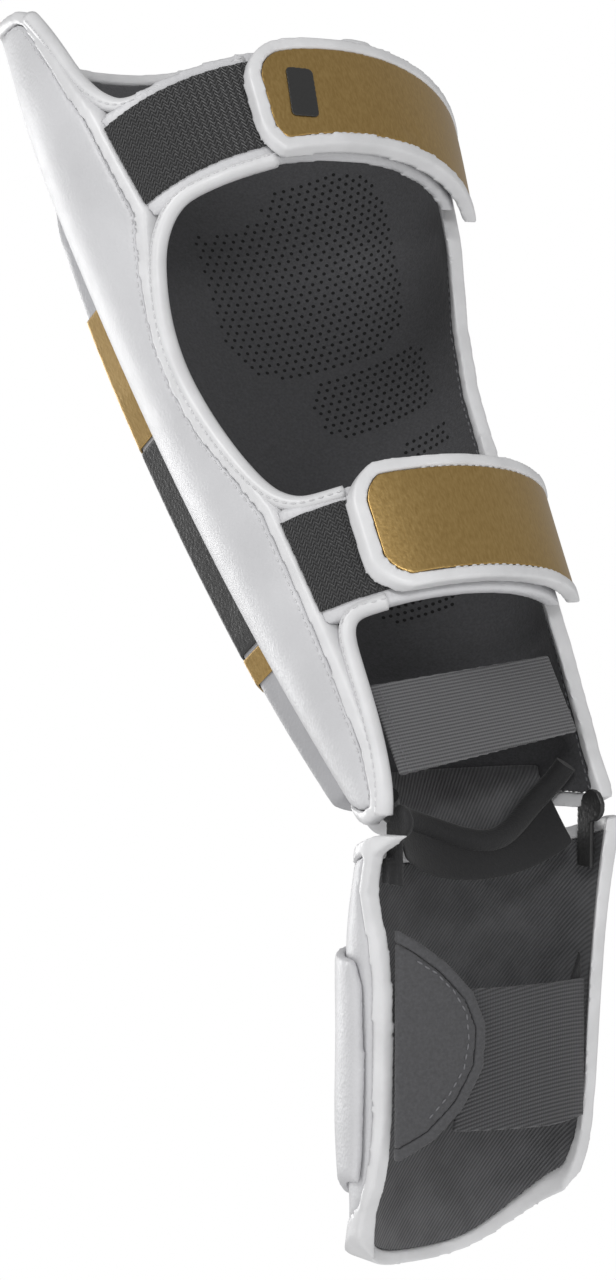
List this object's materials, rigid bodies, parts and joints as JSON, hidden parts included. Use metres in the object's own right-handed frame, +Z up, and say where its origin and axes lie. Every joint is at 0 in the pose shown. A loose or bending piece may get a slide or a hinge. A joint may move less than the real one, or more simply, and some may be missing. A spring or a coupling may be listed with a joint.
{
  "type": "shin and instep guard",
  "caption": "Padded left-leg shin and instep guard with wrap-over hook-and-loop straps, an elastic ankle band, a hinged instep pad and a foot band",
  "frame": {"origin": "on the ankle hinge axis, midway across the leg cavity", "axes": "+Z up the shin to the knee, -Y the shin's front ridge, +Y the calf opening, +X the wearer's outer side of the left leg"},
  "size_m": [0.1731, 0.2062, 0.5085],
  "materials": {
    "white_leather": "white pebbled synthetic leather",
    "gold_leather": "metallic gold synthetic leather",
    "black_leather": "black ribbed synthetic leather",
    "foam": "closed-cell foam",
    "lining_fabric": "dark perforated lining",
    "twill_fabric": "dark twill lining",
    "elastic_webbing": "ribbed elastic webbing",
    "loop_fabric": "black hook-and-loop",
    "neoprene": "neoprene with knit face",
    "edge_binding": "white rolled edge binding",
    "label_print": "small black side label"
  },
  "bodies": {
    "shin": {"shin_foam_core": "foam", "shin_outer_skin": "white_leather", "shin_liner": "lining_fabric", "shin_edge_binding": "edge_binding", "shin_front_panel": "white_leather", "gold_inlay_upper": "gold_leather", "black_inlay": "black_leather", "gold_inlay_lower": "gold_leather", "upper_tab": "white_leather", "lower_tab": "white_leather", "upper_loop_patch": "loop_fabric", "lower_loop_patch": "loop_fabric", "ankle_elastic": "elastic_webbing", "ankle_gusset": "twill_fabric", "ankle_rim_roll": "twill_fabric"},
    "upper_strap": {"upper_strap": "white_leather", "upper_strap_facing": "gold_leather", "upper_strap_binding": "edge_binding", "upper_hook_patch": "loop_fabric", "side_label": "label_print"},
    "lower_strap": {"lower_strap": "white_leather", "lower_strap_facing": "gold_leather", "lower_strap_binding": "edge_binding", "lower_hook_patch": "loop_fabric"},
    "instep": {"instep_foam_core": "foam", "instep_outer_skin": "white_leather", "instep_liner": "twill_fabric", "instep_edge_binding": "edge_binding", "instep_raised_pad": "white_leather", "outer_flap": "neoprene", "outer_flap_binding": "neoprene", "inner_flap": "neoprene", "foot_elastic": "elastic_webbing", "ankle_hinge_tab_outer": "white_leather", "ankle_hinge_tab_inner": "white_leather"}
  },
  "joints": [
    {"name": "ankle_flex", "type": "hinge", "parent": "shin", "child": "instep", "pos_m": [0, 0, 0], "axis": [1, 0, 0], "range_deg": [-12, 33]},
    {"name": "upper_strap_fold", "type": "hinge", "parent": "shin", "child": "upper_strap", "pos_m": [-0.08, 0.025, 0.2677], "axis": [-0.1664, 0, 0.9861], "range_deg": [0, 115]},
    {"name": "lower_strap_fold", "type": "hinge", "parent": "shin", "child": "lower_strap", "pos_m": [-0.0618, 0.0172, 0.1], "axis": [-0.0936, 0, 0.9956], "range_deg": [0, 115]}
  ]
}
